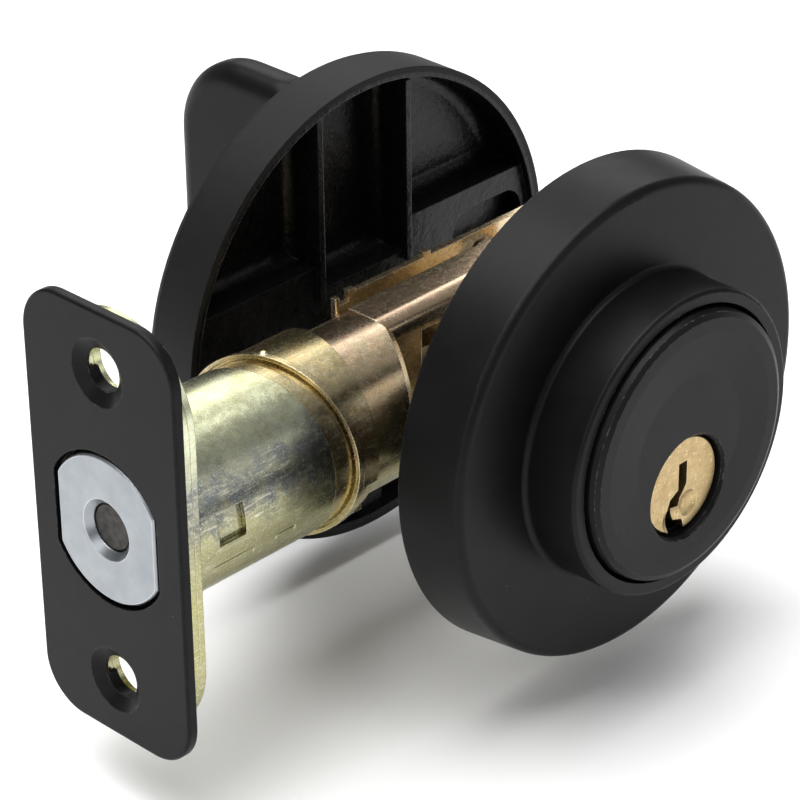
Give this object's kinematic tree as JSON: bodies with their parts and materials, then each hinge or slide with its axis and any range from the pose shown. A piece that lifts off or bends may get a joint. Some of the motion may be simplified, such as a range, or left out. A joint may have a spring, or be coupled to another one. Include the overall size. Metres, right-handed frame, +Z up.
{
  "type": "deadbolt lock",
  "caption": "Single-cylinder deadbolt with round black roses, keyed cylinder outside, thumb-turn inside, and a plated bolt that throws from a rounded faceplate.",
  "frame": {"origin": "where the axis of the door's cross bore meets the axis of the bolt", "axes": "+Z up; the exterior rose faces -Y and the interior rose +Y; the bolt throws along -X"},
  "size_m": [0.0924, 0.0863, 0.0685],
  "materials": {
    "satin_black": "satin black powder coat",
    "black_casting": "satin black over a rough die casting",
    "yellow_zinc": "yellow zinc plated steel with a faint green and pink cast",
    "bright_zinc": "bright nickel plated",
    "dark_steel": "dark hardened steel",
    "plain_steel": "plain bright steel",
    "brass": "fine brushed brass"
  },
  "bodies": {
    "lock_frame": {"exterior_rose": "satin_black", "cylinder_housing": "satin_black", "rose_retainer": "plain_steel", "driver_pins": "brass", "pin_springs": "plain_steel", "chamber_cover": "brass", "anti_drill_pins": "dark_steel", "interior_rose": "black_casting", "through_bolts": "satin_black", "spindle_washer": "plain_steel", "faceplate": "satin_black", "mounting_plate": "yellow_zinc", "front_sleeve": "yellow_zinc", "bolt_guide": "yellow_zinc", "backset_sleeve": "yellow_zinc", "backset_ring": "yellow_zinc", "tail_case_exterior": "yellow_zinc", "tail_case_interior": "yellow_zinc", "case_rivets": "plain_steel"},
    "plug_group": {"plug": "brass", "key_pins": "brass", "plug_cap": "brass"},
    "thumbturn_group": {"thumbturn": "satin_black", "turn_spindle": "plain_steel", "spindle_clip": "plain_steel"},
    "tail_blade": {"tailpiece": "plain_steel"},
    "cam_group": {"cam": "plain_steel"},
    "bolt_group": {"bolt_head": "bright_zinc", "hardened_pin": "dark_steel", "bolt_link": "yellow_zinc", "link_pin": "plain_steel", "drive_pin": "plain_steel"}
  },
  "joints": [
    {"name": "thumbturn_turn", "type": "hinge", "parent": "lock_frame", "child": "thumbturn_group", "pos_m": [0, 0.021, -0.0056], "axis": [0, -1, 0], "range_deg": [0, 90]},
    {"name": "tailpiece_turn", "type": "hinge", "parent": "lock_frame", "child": "tail_blade", "pos_m": [0, 0, -0.0056], "axis": [0, -1, 0], "range_deg": [0, 90]},
    {"name": "cam_turn", "type": "hinge", "parent": "lock_frame", "child": "cam_group", "pos_m": [0, 0, -0.0056], "axis": [0, -1, 0], "range_deg": [0, 90]},
    {"name": "bolt_slide", "type": "slide", "parent": "lock_frame", "child": "bolt_group", "axis": [-1, 0, 0], "range_m": [0, 0.0254]},
    {"name": "plug_turn", "type": "hinge", "parent": "lock_frame", "child": "plug_group", "pos_m": [0, -0.024, -0.0056], "axis": [0, -1, 0], "range_deg": [-90, 0]}
  ],
  "couplings": [
    {"joint": "tailpiece_turn", "follows": "thumbturn_turn", "ratio": 1},
    {"joint": "cam_turn", "follows": "thumbturn_turn", "ratio": 1},
    {"joint": "bolt_slide", "follows": "thumbturn_turn", "m_per_rad": 0.01617}
  ]
}
